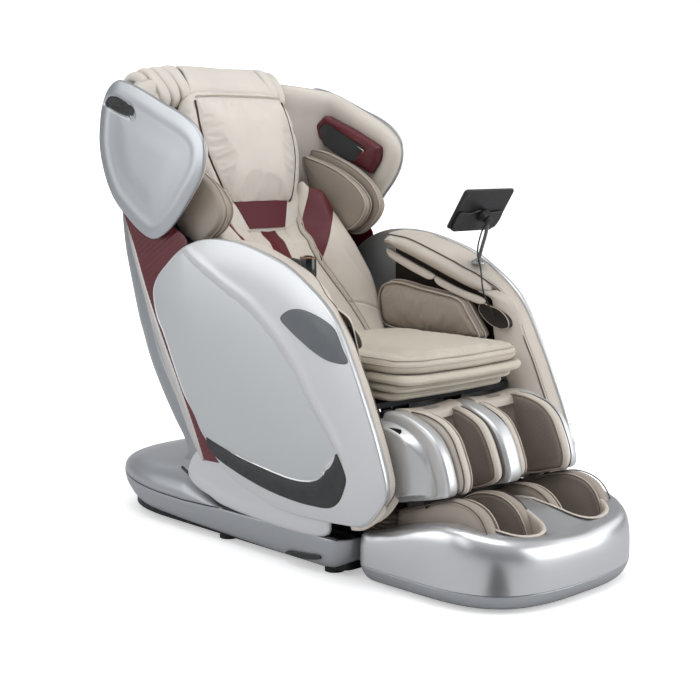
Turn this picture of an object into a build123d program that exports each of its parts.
from build123d import *
import math
import os

# A reclining massage chair: floor base, sliding seat carriage, backrest, leg rest and foot unit.
# x runs across the chair, the front faces -y, z is up and the floor is z = 0.
# The chair is centred on x = 0. All sizes are in millimetres.

os.makedirs("parts", exist_ok=True)

# ---------------------------------------------------------------- driving dimensions
HALF_ARM = 346.0          # outer face of a side shell
SHELL_T = 14.0            # side shell thickness
PANEL_T = 6.0             # oval panel on a side shell
ACCENT_T = 3.0            # accents on a side shell
HALF_WING = 357.0         # outer face of a head wing
HALF_BASE = 318.0         # floor base half width
BASE_FRONT = -280.0       # front end of the floor base
TAIL_Y = 765.0            # rear end of the floor base
SEAM_Z = 95.0             # joint between base skirt and hump cover
FOOT_H = 14.0             # height of the floor feet, where the base pan starts
PAN_T = 18.0              # base pan thickness
PAN_TOP = FOOT_H + PAN_T
FOOT_FRONT = -765.0       # front end of the foot unit
TOP_Z = 1218.0            # top of the headrest cover
RUN = 0.05                # radial running clearance
PLATE_T = 8.0             # brackets, ears and upright plates
RAIL_X = 240.0            # slide rails stand this far from the middle

# pivots and axles seen from the side (y, z)
BACK_PIVOT = (320.0, 290.0)
LEG_PIVOT = (-385.0, 345.0)
BACK_PIN_R = 12.0
LEG_PIN_R = 10.0
WHEEL_AXLE = (662, 38)
WHEEL_AXLE_R = 6
ROLLER_AXLE = (-540, 40)
ROLLER_AXLE_R = 5

# actuators: seat end and far end, each (y, z)
LEG_ACT_SEAT = (-20.0, 165.0)
LEG_ACT_CALF = (-330.0, 238.0)
BACK_ACT_SEAT = (-20.0, 225.0)
BACK_ACT_FRAME = (340.0, 205.0)
ACT_X = 120.0             # distance from the middle: back actuator at +x, leg actuator at -x
ACT_PIN_R = 8.0
EAR_INNER = 12.0          # from actuator centre to the near face of an ear
EAR_OUTER = EAR_INNER + PLATE_T

# backrest mechanism: local x runs up the back, local y points out of the back pad
BACK = Plane(origin=(0, 219, 452), x_dir=(0, 0.5902, 0.8073), z_dir=(1, 0, 0))

# foot slide rods: the plane normal runs down and forward along the rods
SLIDE_TILT = math.radians(15)
FOOT_SLIDE = Plane(origin=(0, -455, 215), x_dir=(1, 0, 0),
                   z_dir=(0, -math.sin(SLIDE_TILT), -math.cos(SLIDE_TILT)))
SLIDE_X = 215
SLIDE_R = 8


# ---------------------------------------------------------------- helpers
def save(builder, name):
    """Label a finished piece and write its STEP file."""
    builder.part.label = name
    export_step(builder.part, f"parts/{name}.step")


def mirrored_plates(name, *plates):
    """Plates on both sides of the chair, each (outer x, thickness towards the middle, y z outline)."""
    with BuildPart() as piece:
        for outer_x, thickness, outline in plates:
            with BuildSketch(Plane.YZ.offset(-outer_x)):
                with BuildLine():
                    Polyline(outline, close=True)
                make_face()
            extrude(amount=thickness)
        mirror(about=Plane.YZ)
    save(piece, name)


def full_width(name, half_width, outline, plane=Plane.YZ):
    """One outline carried across the chair from -half_width to half_width."""
    with BuildPart() as piece:
        with BuildSketch(plane.offset(-half_width)):
            with BuildLine():
                Polyline(outline, close=True)
            make_face()
        extrude(amount=2 * half_width)
    save(piece, name)


def wheel_pair(name, centre, axle_r, axle_half, wheel_r, wheel_width, outer_x=150):
    """Two wheels on one crosswise axle."""
    with BuildPart() as piece:
        with BuildSketch(Plane.YZ.offset(-axle_half)):
            with Locations(centre):
                Circle(axle_r)
        extrude(amount=2 * axle_half)
        for x in (-outer_x, outer_x - wheel_width):
            with BuildSketch(Plane.YZ.offset(x)):
                with Locations(centre):
                    Circle(wheel_r)
            extrude(amount=wheel_width)
    save(piece, name)


def close_loop(right_side):
    """Join a +x half outline with its mirror image, leaving out points on the centre line."""
    return right_side + [(-x, y) for x, y in reversed(right_side) if x > 1e-6]


def base_plan(half_width, front, tail, taper_start, power, corner):
    """Floor base outline (x, y): rounded front corners and a superelliptic tail."""
    side = []
    for i in range(6):
        angle = math.radians(90 * i / 5)
        side.append((half_width - corner + corner * math.sin(angle),
                     front + corner - corner * math.cos(angle)))
    for i in range(19):
        t = math.sin(math.radians(90 * i / 18))
        x = half_width * (1 - t ** power) ** (1 / power) if i < 18 else 0.0
        side.append((x, taper_start + (tail - taper_start) * t))
    return close_loop(side)


NOSE_LEAD = 18            # the middle of the foot unit's front lies this far ahead of its corners


def foot_plan(half_front, half_rear, front, rear, front_corner, rear_corner):
    """Foot unit outline (x, y): pointed front with large corners, small rear corners."""
    side = [(0.0, front)]
    for i in range(9):
        angle = math.radians(90 * i / 8)
        side.append((half_front - front_corner + front_corner * math.sin(angle),
                     front + NOSE_LEAD + front_corner - front_corner * math.cos(angle)))
    for i in range(5):
        angle = math.radians(90 * i / 4)
        side.append((half_rear - rear_corner + rear_corner * math.cos(angle),
                     rear - rear_corner + rear_corner * math.sin(angle)))
    return close_loop(side)


# ================================================================ BASE
with BuildPart() as floor_feet:
    with BuildSketch(Plane.XY):
        with Locations((-262, -200), (262, -200), (-262, 200), (262, 200), (-192, 618), (192, 618)):
            Circle(24)
    extrude(amount=FOOT_H)
save(floor_feet, "floor_feet")

# hanger plate of the transport wheel axle (y, z)
AXLE_HANGER = [(646, PAN_TOP), (678, PAN_TOP), (672, 50), (652, 50)]

with BuildPart() as base_pan:
    with BuildSketch(Plane.XY.offset(FOOT_H)):
        with BuildLine():
            Polyline(base_plan(290, BASE_FRONT + 18, 733, 400, 2.7, 30), close=True)
        make_face()
    extrude(amount=PAN_T)
    # wheel openings
    with BuildSketch(Plane.XY.offset(FOOT_H)):
        with Locations((-135, WHEEL_AXLE[0]), (135, WHEEL_AXLE[0])):
            Rectangle(40, 62)
    extrude(amount=PAN_T, mode=Mode.SUBTRACT)
    for x in (-166, 158):
        with BuildSketch(Plane.YZ.offset(x)):
            with BuildLine():
                Polyline(AXLE_HANGER, close=True)
            make_face()
        extrude(amount=PLATE_T)
    with BuildSketch(Plane.YZ.offset(-170)):
        with Locations(WHEEL_AXLE):
            Circle(WHEEL_AXLE_R + RUN)
    extrude(amount=340, mode=Mode.SUBTRACT)
    # seats for the slide rails
    with BuildSketch(Plane.XY.offset(PAN_TOP)):
        with Locations((-RAIL_X, 20), (RAIL_X, 20)):
            Rectangle(30, 540)
    extrude(amount=6)
save(base_pan, "base_pan")

with BuildPart() as slide_rails:
    # (bottom z, width, height): rail flange, then rail web
    for bottom, width, height in ((38, 24, 8), (46, 8, 64)):
        with BuildSketch(Plane.XY.offset(bottom)):
            with Locations((-RAIL_X, 20), (RAIL_X, 20)):
                Rectangle(width, 530)
        extrude(amount=height)
save(slide_rails, "slide_rails")

# base skirt stations (z, plan)
SKIRT_FOOT = (16, base_plan(296, BASE_FRONT + 20, TAIL_Y - 52, 405, 2.6, 46))
SKIRT_KNEE = (48, base_plan(HALF_BASE - 4, BASE_FRONT + 4, TAIL_Y - 12, 420, 2.6, 50))
SKIRT_RIM = (SEAM_Z, base_plan(HALF_BASE, BASE_FRONT, TAIL_Y, 420, 2.6, 50))
CAVITY_FLOOR = (32, base_plan(297, BASE_FRONT + 16, TAIL_Y - 40, 405, 2.6, 44))
CAVITY_KNEE = (60, base_plan(HALF_BASE - 9, BASE_FRONT + 9, TAIL_Y - 16, 420, 2.6, 46))
PAN_OPENING = (10, base_plan(293, BASE_FRONT + 14, TAIL_Y - 29, 400, 2.7, 31))

with BuildPart() as base_skirt:
    for lower, upper, mode in ((SKIRT_FOOT, SKIRT_KNEE, Mode.ADD),
                               (SKIRT_KNEE, SKIRT_RIM, Mode.ADD),
                               (CAVITY_FLOOR, CAVITY_KNEE, Mode.SUBTRACT)):
        for z, plan in (lower, upper):
            with BuildSketch(Plane.XY.offset(z)):
                with BuildLine():
                    Polyline(plan, close=True)
                make_face()
        loft(ruled=True, mode=mode)
    for (z, plan), height in ((CAVITY_KNEE, 40), (PAN_OPENING, 24)):
        with BuildSketch(Plane.XY.offset(z)):
            with BuildLine():
                Polyline(plan, close=True)
            make_face()
        extrude(amount=height, mode=Mode.SUBTRACT)
    # opening for the power inlet in the tail
    with BuildSketch(Plane.XZ.offset(-TAIL_Y - 10)):
        with Locations((0, 66)):
            Rectangle(68, 40)
    extrude(amount=80, mode=Mode.SUBTRACT)
save(base_skirt, "base_skirt")

# hump cover seen from the side (y, z): outside, then the hollow beneath it
HUMP = [(171, SEAM_Z), (250, 133), (333, 168), (400, 172), (588, 172), (643, 163), (708, 143),
        (TAIL_Y, 112), (TAIL_Y, SEAM_Z)]
HUMP_HOLLOW = [(150, SEAM_Z - 1), (150, 190), (430, 190), (430, 165), (588, 165), (640, 156),
               (690, 139), (735, SEAM_Z - 1)]
COVER_TOP = (178, base_plan(HALF_BASE - 56, BASE_FRONT + 50, TAIL_Y - 50, 400, 2.6, 40))

with BuildPart() as base_cover:
    for z, plan in (SKIRT_RIM, COVER_TOP):
        with BuildSketch(Plane.XY.offset(z)):
            with BuildLine():
                Polyline(plan, close=True)
            make_face()
    loft(ruled=True)
    with BuildSketch(Plane.YZ.offset(-HALF_BASE - 1)):
        with BuildLine():
            Polyline(HUMP, close=True)
        make_face()
    extrude(amount=2 * HALF_BASE + 2, mode=Mode.INTERSECT)
    with BuildSketch(Plane.YZ.offset(-262)):
        with BuildLine():
            Polyline(HUMP_HOLLOW, close=True)
        make_face()
    extrude(amount=524, mode=Mode.SUBTRACT)
    # wide opening at the front of the hump
    with BuildSketch(Plane.XY.offset(SEAM_Z - 1)):
        with Locations((0, 250)):
            Rectangle(568, 220)
    extrude(amount=100, mode=Mode.SUBTRACT)
save(base_cover, "base_cover")

mirrored_plates("base_slot_trims", (HALF_BASE + 3, 3, [
    (-79, 28), (-107, 36), (-202, 46), (-199, 38), (-169, 28), (-114, 24)]))

wheel_pair("transport_wheels", WHEEL_AXLE, WHEEL_AXLE_R, axle_half=162, wheel_r=22, wheel_width=30)

ROCKER_PIVOT = (748, 66)  # y, z
ROCKER_PIN_R = 2.5

with BuildPart() as power_inlet:
    with BuildSketch(Plane.XY.offset(48)):
        with Locations((0, 736)):
            Rectangle(64, 36)
    extrude(amount=36)
    # recess for the rocker
    with BuildSketch(Plane.XY.offset(55)):
        with Locations((16, 748)):
            Rectangle(20, 16)
    extrude(amount=22, mode=Mode.SUBTRACT)
    # socket
    with BuildSketch(Plane.XY.offset(58)):
        with Locations((-14, 750)):
            Rectangle(24, 14)
    extrude(amount=16, mode=Mode.SUBTRACT)
    with BuildSketch(Plane.YZ.offset(5.5)):
        with Locations(ROCKER_PIVOT):
            Circle(ROCKER_PIN_R + RUN)
    extrude(amount=21, mode=Mode.SUBTRACT)
save(power_inlet, "power_inlet")

with BuildPart() as power_rocker:
    with BuildSketch(Plane.YZ.offset(8)):
        with BuildLine():
            Polyline([(744, 57), (744, 75), (757, 75), (755, 66), (757, 57)], close=True)
        make_face()
    extrude(amount=16)
    with BuildSketch(Plane.YZ.offset(6)):
        with Locations(ROCKER_PIVOT):
            Circle(ROCKER_PIN_R)
    extrude(amount=20)
save(power_rocker, "power_rocker")

# ================================================================ SLIDING SEAT CARRIAGE
TUBE_Z = 114              # underside of the cross tubes
TUBE_H = 26
TRAY_Z = 134              # underside of the equipment tray
TRAY_TOP = 140
DECK_Z = 396              # underside of the seat deck

# plates of the seat frame (y, z)
BACK_UPRIGHT = [(150, 116), (290, 116), (352, 280), (340, 318), (300, 322), (284, 300)]
LEG_ARM = [(-250, 115), (-110, 115), (-110, 220), (-240, 300), (-366, 369), (-400, 368),
           (-410, 340), (-394, 321), (-372, 321), (-290, 260)]
LEG_ACT_EAR = [(-36, 130), (-4, 130), (-6, 176), (-34, 176)]
BACK_ACT_EAR = [(-36, 130), (-4, 130), (-8, 236), (-32, 236)]

with BuildPart() as seat_frame:
    # runners that hook over the slide rails
    with BuildSketch(Plane.XY.offset(84)):
        with Locations((-RAIL_X, 15), (RAIL_X, 15)):
            Rectangle(28, 530)
    extrude(amount=56)
    with BuildSketch(Plane.XY.offset(84)):
        with Locations((-RAIL_X, 15), (RAIL_X, 15)):
            Rectangle(12, 540)
    extrude(amount=29, mode=Mode.SUBTRACT)
    # runner noses, raised to pass over the base skirt
    with BuildSketch(Plane.XY.offset(80)):
        with Locations((-RAIL_X, -203), (RAIL_X, -203)):
            Rectangle(40, 114)
    extrude(amount=17.5, mode=Mode.SUBTRACT)
    # cross tubes: middle, rear and front
    with BuildSketch(Plane.XY.offset(TUBE_Z)):
        with Locations((0, -20), (0, 180), (0, -235)):
            Rectangle(470, 30)
    extrude(amount=TUBE_H)
    # equipment tray
    with BuildSketch(Plane.XY.offset(TRAY_Z)):
        with Locations((0, 30)):
            Rectangle(184, 420)
    extrude(amount=TRAY_TOP - TRAY_Z)
    # posts and seat deck
    with BuildSketch(Plane.XY.offset(138)):
        with Locations((-RAIL_X, -120), (RAIL_X, -120), (-RAIL_X, 70), (RAIL_X, 70)):
            Rectangle(24, 40)
    extrude(amount=260)
    with BuildSketch(Plane.XY.offset(DECK_Z)):
        with Locations((0, -100)):
            Rectangle(508, 390)
    extrude(amount=14)
    # uprights for the recline pivot, with blocks joining them to the runners
    for x in (-276, 268):
        with BuildSketch(Plane.YZ.offset(x)):
            with BuildLine():
                Polyline(BACK_UPRIGHT, close=True)
            make_face()
        extrude(amount=PLATE_T)
    with BuildSketch(Plane.XY.offset(116)):
        with Locations((-260, 200), (260, 200)):
            Rectangle(20, 60)
    extrude(amount=20)
    # forward arms for the leg rest pivot
    for x in (-252, 244):
        with BuildSketch(Plane.YZ.offset(x)):
            with BuildLine():
                Polyline(LEG_ARM, close=True)
            make_face()
        extrude(amount=PLATE_T)
    # pivot bores
    with BuildSketch(Plane.YZ.offset(-300)):
        with Locations(BACK_PIVOT):
            Circle(BACK_PIN_R + RUN)
        with Locations(LEG_PIVOT):
            Circle(LEG_PIN_R + RUN)
    extrude(amount=600, mode=Mode.SUBTRACT)
    # actuator ears with their pins
    for centre_x, ear, pin in ((-ACT_X, LEG_ACT_EAR, LEG_ACT_SEAT),
                               (ACT_X, BACK_ACT_EAR, BACK_ACT_SEAT)):
        for x in (centre_x - EAR_OUTER, centre_x + EAR_INNER):
            with BuildSketch(Plane.YZ.offset(x)):
                with BuildLine():
                    Polyline(ear, close=True)
                make_face()
            extrude(amount=PLATE_T)
        with BuildSketch(Plane.YZ.offset(centre_x - 22)):
            with Locations(pin):
                Circle(ACT_PIN_R)
        extrude(amount=44)
save(seat_frame, "seat_frame")

# ---------------------------------------------------------------- sides, outlines in (y, z)
SIDE = [
    (281, 746), (212, 770), (139, 777), (53, 771), (-49, 748), (-115, 726), (-179, 691),
    (-241, 649), (-283, 608), (-335, 520), (-387, 415), (-423, 335), (-447, 257), (-441, 226),
    (-399, 175), (-363, 154), (-294, 145), (-176, 140), (-73, 144), (12, 166), (78, 183),
    (116, 201), (191, 267), (245, 333), (283, 378), (353, 504), (369, 532), (389, 561),
    (404, 613), (403, 637), (386, 667), (345, 703)]
mirrored_plates("side_shells", (HALF_ARM, SHELL_T, SIDE))

# lower edge of the oval panel, from rear to front
OVAL_LOW = [(191, 271), (70, 242), (-39, 227), (-143, 219), (-203, 224), (-230, 234), (-294, 305)]
OVAL = OVAL_LOW + [
    (-281, 330), (-211, 409), (-145, 490), (-71, 559), (-47, 581), (21, 620), (126, 666),
    (236, 719), (278, 741), (341, 699), (381, 664), (398, 635), (399, 614), (385, 564),
    (365, 535), (349, 507), (279, 381), (241, 336)]
mirrored_plates("side_panels", (HALF_ARM + PANEL_T, PANEL_T, OVAL))

# swoosh that follows the lower edge of the oval, this far below it
ACCENT_GAP = 1.5
ACCENT = [
    (188, 262), (161, 235), (70, 209), (-38, 185), (-142, 175), (-210, 174), (-275, 181),
    (-300, 200), (-325, 240), (-329, 258), (-319, 283), (-300, 315)
] + [(y, z - ACCENT_GAP) for y, z in reversed(OVAL_LOW)]
BADGE = [
    (-107, 604), (-133, 624), (-172, 631), (-222, 623), (-270, 605), (-288, 592), (-310, 555),
    (-328, 522), (-276, 520), (-225, 535), (-179, 557), (-139, 579)]
mirrored_plates("side_accents",
                (HALF_ARM + ACCENT_T, ACCENT_T, ACCENT),
                (HALF_ARM + ACCENT_T, ACCENT_T, BADGE))

mirrored_plates("lower_side_covers", (324, 8, [
    (-235, 104), (158, 104), (250, 146), (235, 168), (200, 205), (165, 240), (120, 240),
    (-200, 225), (-240, 190)]))

# band along the front edge of a side shell
mirrored_plates("front_trims", (331, 41, [
    (-215, 667), (-241, 649), (-283, 608), (-335, 520), (-387, 415), (-423, 335), (-447, 257),
    (-441, 226), (-399, 175), (-363, 154), (-330, 148), (-330, 162), (-356, 168), (-389, 187),
    (-427, 230), (-433, 257), (-409, 332), (-374, 410), (-322, 514), (-270, 600), (-232, 638),
    (-208, 654)]))

DIAL_XY = (-246, -92)     # control dial, on the -x arm
ARM_PAD = [(150, 772), (60, 764), (-21, 740), (-126, 703), (-196, 672), (-200, 640),
           (-126, 650), (33, 706), (121, 738), (150, 742)]

with BuildPart() as arm_pads:
    with BuildSketch(Plane.YZ.offset(-325)):
        with BuildLine():
            Polyline(ARM_PAD, close=True)
        make_face()
    extrude(amount=103)
    mirror(about=Plane.YZ)
    # recess for the dial
    with BuildSketch(Plane.XY.offset(684)):
        with Locations(DIAL_XY):
            Circle(26)
    extrude(amount=60, mode=Mode.SUBTRACT)
save(arm_pads, "arm_pads")

mirrored_plates("arm_liners", (300, 8, [
    (-200, 632), (-126, 644), (33, 700), (118, 730), (118, 440), (-340, 440), (-312, 508),
    (-262, 592)]))

mirrored_plates("hip_pads", (290, 72, [
    (130, 520), (145, 614), (131, 631), (97, 641), (-1, 632), (-133, 615), (-158, 605),
    (-184, 573), (-220, 523)]))

# ---------------------------------------------------------------- seat
full_width("seat_cushion", 212, [
    (90, 500), (-3, 505), (-210, 518), (-300, 514), (-360, 500), (-388, 480), (-390, 464),
    (90, 462)])

full_width("seat_valance", 208, [
    (90, 412), (-310, 412), (-326, 430), (-350, 436), (-356, 458), (90, 458)])

full_width("bellows", 240, [
    (-345, 150), (-338, 182), (-262, 182), (-262, 150), (-275, 122), (-325, 138)])

PUMP_Y = -90
PUMP_H = 80

with BuildPart() as air_pump:
    with BuildSketch(Plane.XY.offset(TRAY_TOP)):
        with Locations((0, PUMP_Y)):
            RectangleRounded(150, 120, 12)
    extrude(amount=PUMP_H)
    # three round stubs on top
    with BuildSketch(Plane.XY.offset(TRAY_TOP + PUMP_H)):
        with Locations((-40, PUMP_Y), (0, PUMP_Y), (40, PUMP_Y)):
            Circle(12)
    extrude(amount=18)
save(air_pump, "air_pump")

with BuildPart() as control_box:
    with BuildSketch(Plane.XY.offset(TRAY_TOP)):
        with Locations((0, 90)):
            RectangleRounded(160, 150, 8)
    extrude(amount=52)
save(control_box, "control_box")

# ---------------------------------------------------------------- actuators
ROD_R = 8.0
EYE_T = 18.0              # width of the eyes at both ends


def actuator_axis(x, seat_end, far_end):
    """Plane at the seat end facing the far end, and the distance between them."""
    run_y = far_end[0] - seat_end[0]
    run_z = far_end[1] - seat_end[1]
    length = math.hypot(run_y, run_z)
    axis = Plane(origin=(x, seat_end[0], seat_end[1]), x_dir=(1, 0, 0),
                 z_dir=(0, run_y / length, run_z / length))
    return axis, length


def actuator_tube(name, x, seat_end, far_end):
    """Hollow tube with an eye on the seat end."""
    axis, _ = actuator_axis(x, seat_end, far_end)
    # (start along the axis, radius, length, mode): barrel, neck, hollow, rod bore
    steps = ((24, 18, 216, Mode.ADD), (10, 8.9, 16, Mode.ADD),
             (36, 13, 184, Mode.SUBTRACT), (200, ROD_R + RUN, 60, Mode.SUBTRACT))
    with BuildPart() as piece:
        for start, radius, length, mode in steps:
            with BuildSketch(axis.offset(start)):
                Circle(radius)
            extrude(amount=length, mode=mode)
        with BuildSketch(Plane.YZ.offset(x - EYE_T / 2)):
            with Locations(seat_end):
                Circle(17)
        extrude(amount=EYE_T)
        with BuildSketch(Plane.YZ.offset(x - 30)):
            with Locations(seat_end):
                Circle(ACT_PIN_R + RUN)
        extrude(amount=60, mode=Mode.SUBTRACT)
    save(piece, name)


def actuator_rod(name, x, seat_end, far_end, start):
    """Rod that begins inside the tube and carries an eye on the far end."""
    axis, length = actuator_axis(x, seat_end, far_end)
    with BuildPart() as piece:
        with BuildSketch(axis.offset(start)):
            Circle(ROD_R)
        extrude(amount=length - start - 8)
        with BuildSketch(Plane.YZ.offset(x - EYE_T / 2)):
            with Locations(far_end):
                Circle(14)
                Circle(6, mode=Mode.SUBTRACT)
        extrude(amount=EYE_T)
    save(piece, name)


actuator_tube("back_actuator_tube", ACT_X, BACK_ACT_SEAT, BACK_ACT_FRAME)
actuator_rod("back_actuator_rod", ACT_X, BACK_ACT_SEAT, BACK_ACT_FRAME, start=110)
actuator_tube("leg_actuator_tube", -ACT_X, LEG_ACT_SEAT, LEG_ACT_CALF)
actuator_rod("leg_actuator_rod", -ACT_X, LEG_ACT_SEAT, LEG_ACT_CALF, start=60)

# ---------------------------------------------------------------- controls on the arms
BUTTON_R = 10

with BuildPart() as control_dial:
    with BuildSketch(Plane.XY.offset(686)):
        with Locations(DIAL_XY):
            Circle(20)
    extrude(amount=56)
    with BuildSketch(Plane.XY.offset(734)):
        with Locations(DIAL_XY):
            Circle(BUTTON_R + RUN)
    extrude(amount=10, mode=Mode.SUBTRACT)
save(control_dial, "control_dial")

with BuildPart() as dial_button:
    with BuildSketch(Plane.XY.offset(737)):
        with Locations(DIAL_XY):
            Circle(BUTTON_R)
    extrude(amount=8)
save(dial_button, "dial_button")

# tablet stalk, on the +x arm
STALK_XY = (285, -165)
STALK_FOOT = (*STALK_XY, 703)
BALL = (262.0, -215.0, 815.0)
BALL_R = 8
BALL_PIN_R = 2.5
BALL_PLANE = Plane(origin=BALL, x_dir=(1, 0, 0), z_dir=(0, 0, 1))

with BuildPart() as tablet_stalk:
    with BuildSketch(Plane.XY.offset(698)):
        with Locations(STALK_XY):
            Circle(17)
    extrude(amount=7)
    with BuildLine():
        Spline(STALK_FOOT, (284, -178, 745), (272, -204, 795), BALL,
               tangents=[(0, 0, 1), (-0.35, -0.3, 0.89)])
    with BuildSketch(Plane(origin=STALK_FOOT, z_dir=(0, 0, 1))):
        Circle(5)
    sweep()
    # ball with a crosswise pin hole
    with BuildSketch(BALL_PLANE):
        with BuildLine():
            CenterArc((0, 0), BALL_R, -90, 180)
            Line((0, BALL_R), (0, -BALL_R))
        make_face()
    revolve(axis=Axis(BALL, (0, 1, 0)))
    with BuildSketch(Plane.YZ.offset(BALL[0] - 12)):
        with Locations((BALL[1], BALL[2])):
            Circle(BALL_PIN_R + RUN)
    extrude(amount=24, mode=Mode.SUBTRACT)
save(tablet_stalk, "tablet_stalk")

# back face of the tablet; the normal points to the sitter
TABLET = Plane(origin=(258, -197.5, 842.5), x_dir=(1, 0, 0), z_dir=(0, 0.8387, 0.5446))
HOLDER_T = 5

with BuildPart() as tablet:
    with BuildSketch(TABLET):
        RectangleRounded(190, 118, 8)
    extrude(amount=8)
save(tablet, "tablet")

with BuildPart() as tablet_holder:
    with BuildSketch(TABLET):
        with Locations((0, 30)):
            RectangleRounded(172, 56, 10)
    extrude(amount=-HOLDER_T)
    # boss with a socket for the ball, and the pin through it
    with BuildSketch(TABLET.offset(-HOLDER_T)):
        with Locations((4, 13.6)):
            Circle(14)
    extrude(amount=-20)
    with BuildSketch(BALL_PLANE):
        with BuildLine():
            CenterArc((0, 0), BALL_R + RUN, -90, 180)
            Line((0, BALL_R + RUN), (0, -BALL_R - RUN))
        make_face()
    revolve(axis=Axis(BALL, (0, 1, 0)), mode=Mode.SUBTRACT)
    with BuildSketch(Plane.YZ.offset(BALL[0] - 11)):
        with Locations((BALL[1], BALL[2])):
            Circle(BALL_PIN_R)
    extrude(amount=22)
save(tablet_holder, "tablet_holder")

# ================================================================ BACKREST
# side plate, lower cross bar and actuator ear of the back frame (y, z)
BACK_PLATE = [(296, 262), (345, 222), (360, 300), (372, 420), (626, 890), (634, 1004),
              (622, 1022), (614, 1018), (210, 465), (215, 440), (280, 330)]
LOWER_BAR = [(328, 234), (352, 234), (352, 258), (328, 258)]
BACK_EAR = [(326, 240), (350, 240), (346, 192), (326, 192)]
BAR_HALF = 240            # cross bars reach this far from the middle

with BuildPart() as back_frame:
    for x in (-252, 236):
        with BuildSketch(Plane.YZ.offset(x)):
            with BuildLine():
                Polyline(BACK_PLATE, close=True)
            make_face()
        extrude(amount=16)
    with BuildSketch(Plane.YZ.offset(-BAR_HALF)):
        with BuildLine():
            Polyline(LOWER_BAR, close=True)
        make_face()
    extrude(amount=2 * BAR_HALF)
    # cross bars at both ends of the roller track
    with BuildSketch(BACK.offset(-BAR_HALF)):
        with Locations((75, -82)):
            Rectangle(30, 24)
        with Locations((668, 0)):
            Rectangle(24, 24)
    extrude(amount=2 * BAR_HALF)
    # recline pins
    for x in (-288, 248):
        with BuildSketch(Plane.YZ.offset(x)):
            with Locations(BACK_PIVOT):
                Circle(BACK_PIN_R)
        extrude(amount=40)
    for x in (ACT_X - EAR_OUTER, ACT_X + EAR_INNER):
        with BuildSketch(Plane.YZ.offset(x)):
            with BuildLine():
                Polyline(BACK_EAR, close=True)
            make_face()
        extrude(amount=PLATE_T)
save(back_frame, "back_frame")

# roller mechanism, places along BACK's local x and y
CARRIAGE = 310            # middle of the carriage, up the back
GUIDE_R = 10              # carriage guide wheels, running in the track
GUIDE_REACH = 40
SHAFT = (CARRIAGE, 12)
SHAFT_R = 8
KNEAD_REACH = 60          # massage rollers lie this far above and below the carriage middle
KNEAD_OUT = 42
KNEAD_PIN_R = 5
KNEAD_ARM = [(310, 24), (252, 52), (240, 46), (242, 34), (300, 3), (320, 3), (378, 34),
             (380, 46), (368, 52)]

with BuildPart() as roller_track:
    with BuildSketch(BACK.offset(-140)):
        with Locations((330, 0)):
            Rectangle(624, 30)
    extrude(amount=20)
    with BuildSketch(BACK.offset(-132)):
        with Locations((330, 0)):
            Rectangle(600, 2 * GUIDE_R + 2 * RUN)
    extrude(amount=20, mode=Mode.SUBTRACT)
    mirror(about=Plane.YZ)
    # cross bars joining the two tracks
    with BuildSketch(BACK.offset(-236)):
        with Locations((10, 0)):
            Rectangle(16, 24)
        with Locations((650, 0)):
            Rectangle(10, 24)
    extrude(amount=472)
save(roller_track, "roller_track")

with BuildPart() as roller_carriage:
    with BuildSketch(BACK.offset(-108)):
        with Locations((CARRIAGE, -22)):
            Rectangle(96, 34)
    extrude(amount=216)
    # cheeks
    for x in (-108, 96):
        with BuildSketch(BACK.offset(x)):
            with Locations((CARRIAGE, -5)):
                Rectangle(120, 68)
        extrude(amount=12)
    # guide wheels
    for x in (-131, 101):
        with BuildSketch(BACK.offset(x)):
            with Locations((CARRIAGE - GUIDE_REACH, 0), (CARRIAGE + GUIDE_REACH, 0)):
                Circle(GUIDE_R)
        extrude(amount=30)
    with BuildSketch(BACK.offset(-115)):
        with Locations(SHAFT):
            Circle(SHAFT_R + RUN)
    extrude(amount=230, mode=Mode.SUBTRACT)
save(roller_carriage, "roller_carriage")

with BuildPart() as kneading_arms:
    with BuildSketch(BACK.offset(-106)):
        with Locations(SHAFT):
            Circle(SHAFT_R)
    extrude(amount=212)
    for x in (-64, 56):
        with BuildSketch(BACK.offset(x)):
            with BuildLine():
                Polyline(KNEAD_ARM, close=True)
            make_face()
        extrude(amount=PLATE_T)
    # roller pins
    with BuildSketch(BACK.offset(-90)):
        with Locations((CARRIAGE - KNEAD_REACH, KNEAD_OUT), (CARRIAGE + KNEAD_REACH, KNEAD_OUT)):
            Circle(KNEAD_PIN_R)
    extrude(amount=180)
save(kneading_arms, "kneading_arms")


def massage_rollers(name, along):
    """A pair of rollers at one place up the back."""
    with BuildPart() as piece:
        with BuildSketch(BACK.offset(-86)):
            with Locations((along, KNEAD_OUT)):
                Circle(24)
                Circle(KNEAD_PIN_R + RUN, mode=Mode.SUBTRACT)
        extrude(amount=20)
        mirror(about=Plane.YZ)
    save(piece, name)


massage_rollers("upper_rollers", CARRIAGE + KNEAD_REACH)
massage_rollers("lower_rollers", CARRIAGE - KNEAD_REACH)

# back shell seen from the side (y, z): rear edge upward, front edge downward, inner hollow
SHELL_REAR = [
    (372, 192), (377, 222), (401, 249), (451, 294), (509, 364), (551, 433), (584, 508),
    (601, 539), (624, 623), (638, 698), (644, 763), (646, 824), (648, 900), (648, 1000),
    (640, 1080), (615, 1128), (585, 1150)]
SHELL_FRONT = [
    (560, 1150), (530, 1100), (515, 1000), (500, 840), (470, 700), (392, 528), (318, 402),
    (264, 309), (219, 232), (217, 208), (300, 196)]
SHELL_HOLLOW = [
    (362, 150), (366, 232), (395, 258), (444, 302), (501, 370), (543, 437), (576, 512),
    (593, 543), (616, 625), (630, 700), (636, 764), (638, 825), (640, 900), (640, 1000),
    (632, 1076), (610, 1118), (583, 1142), (540, 1142), (400, 1142), (100, 600), (100, 150)]
BACK_HALF = 312           # back shell half width
BACK_WALL = 8

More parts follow.
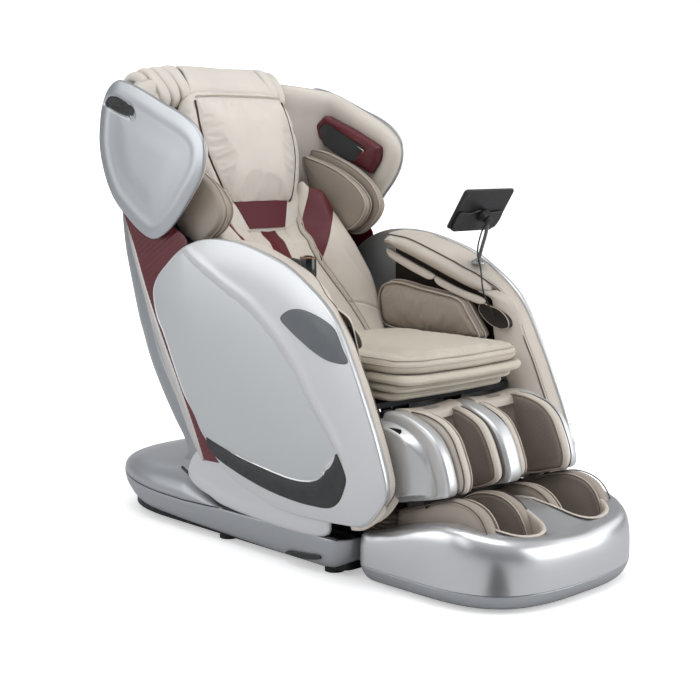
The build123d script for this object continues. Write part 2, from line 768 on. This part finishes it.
with BuildPart() as back_shell:
    for half_width, outline, mode in (
            (BACK_HALF, SHELL_REAR + SHELL_FRONT, Mode.ADD),
            (BACK_HALF - BACK_WALL, SHELL_HOLLOW, Mode.SUBTRACT)):
        with BuildSketch(Plane.YZ.offset(-half_width)):
            with BuildLine():
                Polyline(outline, close=True)
            make_face()
        extrude(amount=2 * half_width, mode=mode)
    # slots for the two hinge uprights
    with BuildSketch(Plane.XY.offset(150)):
        with Locations((-272, 380), (272, 380)):
            Rectangle(24, 140)
    extrude(amount=120, mode=Mode.SUBTRACT)
save(back_shell, "back_shell")

STRIP_T = 14
mirrored_plates("pillar_strips", (BACK_HALF + STRIP_T, STRIP_T, [
    (392, 528), (318, 402), (264, 309), (219, 232), (217, 208), (227, 204), (266, 250),
    (320, 337), (374, 430), (425, 525), (500, 700), (545, 830), (520, 838), (470, 700)]))

mirrored_plates("back_side_panels", (331, 4, [
    (560, 850), (455, 846), (330, 800), (273, 768), (262, 700), (235, 600), (190, 480),
    (150, 350), (120, 203), (213, 209), (219, 232), (264, 309), (318, 402), (392, 528),
    (463, 630), (510, 705), (560, 800)]))

# ---------------------------------------------------------------- head wings
mirrored_plates("wings", (HALF_WING, 12, [
    (488, 1176), (447, 1182), (407, 1155), (322, 1118), (254, 1087), (203, 1055), (175, 1019),
    (168, 984), (177, 943), (200, 907), (238, 866), (285, 818), (333, 784), (373, 768),
    (397, 767), (445, 784), (502, 820), (551, 857), (584, 900), (611, 963), (619, 1012),
    (611, 1061), (583, 1099), (531, 1135)]))

# wing pad on the -x side: plan (x, y), trimmed by the side outline (y, z)
PAD_PLAN = [(-343, 200), (-334, 190), (-322, 200), (-320, 240), (-320, 445), (-165, 455),
            (-165, 490), (-343, 490)]
PAD_SIDE = [
    (485, 1150), (447, 1165), (407, 1140), (322, 1103), (254, 1072), (210, 1045), (190, 1012),
    (184, 984), (192, 946), (214, 915), (248, 880), (270, 862), (490, 862), (490, 1150)]

with BuildPart() as wing_pads:
    with BuildSketch(Plane.XY.offset(862)):
        with BuildLine():
            Polyline(PAD_PLAN, close=True)
        make_face()
    extrude(amount=300)
    with BuildSketch(Plane.YZ.offset(-344)):
        with BuildLine():
            Polyline(PAD_SIDE, close=True)
        make_face()
    extrude(amount=200, mode=Mode.INTERSECT)
    mirror(about=Plane.YZ)
save(wing_pads, "wing_pads")

mirrored_plates("speaker_bezels", (318, 18, [
    (438, 1068), (425, 1083), (333, 1048), (225, 999), (229, 969), (263, 925), (378, 975),
    (438, 1010)]))

mirrored_plates("speaker_grilles", (300, 5, [
    (425, 1050), (405, 1064), (281, 996), (324, 961), (369, 969), (425, 1000)]))

# ---------------------------------------------------------------- back upholstery
# outer layer, then a smaller inner layer that overlaps it
SHOULDER_OUTER = [(426, 990), (381, 987), (231, 934), (163, 887), (142, 852), (146, 829),
                  (188, 780), (239, 753), (318, 799), (399, 883)]
SHOULDER_INNER = [(426, 970), (381, 967), (241, 918), (180, 880), (160, 852), (164, 832),
                  (200, 790), (245, 768), (318, 809), (399, 883)]
mirrored_plates("shoulder_pads",
                (290, 32, SHOULDER_OUTER + []) if False else (290, 32, SHOULDER_OUTER),
                (254, 32, SHOULDER_INNER))

# outline in BACK's local x and y
full_width("back_pad", 192, [
    (30, 84), (30, 104), (60, 110), (300, 112), (405, 108), (405, 84)], plane=BACK)

full_width("head_pillow", 147, [
    (372, 845), (398, 930), (430, 1050), (452, 1132), (515, 1132), (488, 1040), (456, 920),
    (438, 860)])

full_width("headrest_cover", 160, [
    (455, 1138), (500, 1180), (555, TOP_Z), (595, 1208), (612, 1156), (528, 1154), (522, 1138)])

# ================================================================ LEG REST
# outlines in (y, z)
CALF = [(-330, 392), (-374, 400), (-444, 381), (-487, 355), (-513, 321), (-530, 280),
        (-535, 246), (-512, 226), (-424, 203), (-372, 195), (-340, 300)]
CALF_CHANNEL = [(-362, 420), (-374, 330), (-416, 180), (-560, 180), (-560, 420)]
CALF_ACT_POCKET = [(-352, 300), (-384, 195), (-330, 180), (-320, 310)]
LEG_WEB = [(-330, 392), (-340, 300), (-372, 195), (-366, 193), (-334, 299), (-325, 391)]
WEB_ACT_SLOT = [(-352, 305), (-386, 190), (-320, 180), (-310, 310)]
CALF_EAR = [(-336, 296), (-312, 262), (-312, 222), (-364, 204)]
CALF_HALF = 232           # calf shell half width

with BuildPart() as calf_shell:
    with BuildSketch(Plane.YZ.offset(-CALF_HALF)):
        with BuildLine():
            Polyline(CALF, close=True)
        make_face()
    extrude(amount=2 * CALF_HALF)
    # two calf channels
    for x in (-198, 24):
        with BuildSketch(Plane.YZ.offset(x)):
            with BuildLine():
                Polyline(CALF_CHANNEL, close=True)
            make_face()
        extrude(amount=174, mode=Mode.SUBTRACT)
    # pin bores
    for x in (-240, 204):
        with BuildSketch(Plane.YZ.offset(x)):
            with Locations(LEG_PIVOT):
                Circle(LEG_PIN_R)
        extrude(amount=36, mode=Mode.SUBTRACT)
    # slide rod bores
    with BuildSketch(FOOT_SLIDE.offset(-150)):
        with Locations((-SLIDE_X, 0), (SLIDE_X, 0)):
            Circle(SLIDE_R + RUN)
    extrude(amount=240, mode=Mode.SUBTRACT)
    # pocket for the actuator end
    with BuildSketch(Plane.YZ.offset(-ACT_X - 22)):
        with BuildLine():
            Polyline(CALF_ACT_POCKET, close=True)
        make_face()
    extrude(amount=44, mode=Mode.SUBTRACT)
save(calf_shell, "calf_shell")

with BuildPart() as leg_frame:
    with BuildSketch(Plane.YZ.offset(-200)):
        with BuildLine():
            Polyline(LEG_WEB, close=True)
        make_face()
    extrude(amount=400)
    with BuildSketch(Plane.YZ.offset(-ACT_X - 11)):
        with BuildLine():
            Polyline(WEB_ACT_SLOT, close=True)
        make_face()
    extrude(amount=22, mode=Mode.SUBTRACT)
    for x in (-ACT_X - EAR_OUTER, -ACT_X + EAR_INNER):
        with BuildSketch(Plane.YZ.offset(x)):
            with BuildLine():
                Polyline(CALF_EAR, close=True)
            make_face()
        extrude(amount=PLATE_T)
    # pivot pins with their collars: (start x, radius, length)
    for x, radius, length in ((-254, LEG_PIN_R, 50), (-238, 24, 6),
                              (204, LEG_PIN_R, 50), (232, 24, 6)):
        with BuildSketch(Plane.YZ.offset(x)):
            with Locations(LEG_PIVOT):
                Circle(radius)
        extrude(amount=length)
save(leg_frame, "leg_frame")

# pads on the outer and inner wall of each calf channel
CALF_PAD_OUTER = [(-385, 398), (-430, 398), (-480, 383), (-520, 340), (-541, 293), (-545, 255),
                  (-537, 234), (-512, 226), (-414, 205), (-378, 330)]
CALF_PAD_INNER = [(-385, 396), (-417, 385), (-468, 364), (-503, 317), (-522, 266), (-522, 243),
                  (-489, 220), (-414, 205), (-378, 330)]
mirrored_plates("calf_pads", (196, 32, CALF_PAD_OUTER), (58, 32, CALF_PAD_INNER))

mirrored_plates("calf_liners", (162, 102, [
    (-366, 396), (-378, 330), (-418, 205), (-440, 210), (-404, 330), (-390, 396)]))

# ================================================================ FOOT UNIT
# foot unit stations (z, plan): the rim is the joint between shell and base
FOOT_RIM = (42, foot_plan(290, 290, FOOT_FRONT, -296, 120, 30))
FOOT_CROWN = (180, foot_plan(258, 262, FOOT_FRONT + 40, -306, 110, 30))
FOOT_SOLE = (16, foot_plan(262, 262, FOOT_FRONT + 32, -345, 110, 30))
# side outline that trims the shell (y, z)
FOOT_SIDE = [(-296, 30), (-300, 108), (-331, 124), (-439, 150), (-521, 170), (-600, 176),
             (-661, 166), (-701, 158), (-745, 120), (FOOT_FRONT - 1, 70), (FOOT_FRONT - 1, 30)]
ROLLER_BAY = (400, 130)   # x and y size of the hollow for the foot rollers

with BuildPart() as foot_shell:
    for z, plan in (FOOT_RIM, FOOT_CROWN):
        with BuildSketch(Plane.XY.offset(z)):
            with BuildLine():
                Polyline(plan, close=True)
            make_face()
    loft(ruled=True)
    with BuildSketch(Plane.YZ.offset(-300)):
        with BuildLine():
            Polyline(FOOT_SIDE, close=True)
        make_face()
    extrude(amount=600, mode=Mode.INTERSECT)
    # two foot wells
    with BuildSketch(Plane.XY.offset(62)):
        with Locations((-110, -500), (110, -500)):
            RectangleRounded(176, 414, 50)
    extrude(amount=140, mode=Mode.SUBTRACT)
    with BuildSketch(Plane.XY.offset(40)):
        with Locations((0, ROLLER_AXLE[0])):
            Rectangle(*ROLLER_BAY)
    extrude(amount=17, mode=Mode.SUBTRACT)
    # sockets of the two slide rods
    with BuildSketch(FOOT_SLIDE):
        with Locations((-SLIDE_X, 0), (SLIDE_X, 0)):
            Circle(SLIDE_R)
    extrude(amount=110, mode=Mode.SUBTRACT)
    with BuildSketch(Plane.YZ.offset(-210)):
        with Locations(ROLLER_AXLE):
            Circle(ROLLER_AXLE_R + RUN)
    extrude(amount=420, mode=Mode.SUBTRACT)
save(foot_shell, "foot_shell")

with BuildPart() as foot_base:
    for z, plan in (FOOT_RIM, FOOT_SOLE):
        with BuildSketch(Plane.XY.offset(z)):
            with BuildLine():
                Polyline(plan, close=True)
            make_face()
    loft(ruled=True)
    with BuildSketch(Plane.XY.offset(22)):
        with Locations((0, ROLLER_AXLE[0])):
            Rectangle(*ROLLER_BAY)
    extrude(amount=24, mode=Mode.SUBTRACT)
    with BuildSketch(Plane.YZ.offset(-210)):
        with Locations(ROLLER_AXLE):
            Circle(ROLLER_AXLE_R + RUN)
    extrude(amount=420, mode=Mode.SUBTRACT)
save(foot_base, "foot_base")

wheel_pair("foot_rollers", ROLLER_AXLE, ROLLER_AXLE_R, axle_half=208, wheel_r=15, wheel_width=80)

with BuildPart() as foot_slides:
    with BuildSketch(FOOT_SLIDE.offset(-146)):
        with Locations((-SLIDE_X, 0), (SLIDE_X, 0)):
            Circle(SLIDE_R)
    extrude(amount=240)
save(foot_slides, "foot_slides")

# outer pad of a foot well; the inner pad sits 8 further back and 6 lower above z = 100
FOOT_PAD = [(-400, 66), (-400, 160), (-440, 188), (-497, 212), (-560, 219), (-617, 204),
            (-645, 178), (-662, 120), (-664, 66)]
FOOT_PAD_INNER = [(y + 8, z - 6 if z > 100 else z) for y, z in FOOT_PAD]
mirrored_plates("foot_pads", (194, 44, FOOT_PAD), (74, 44, FOOT_PAD_INNER))

mirrored_plates("foot_liners", (148, 72, [
    (-400, 64), (-400, 84), (-650, 84), (-680, 96), (-690, 64)]))
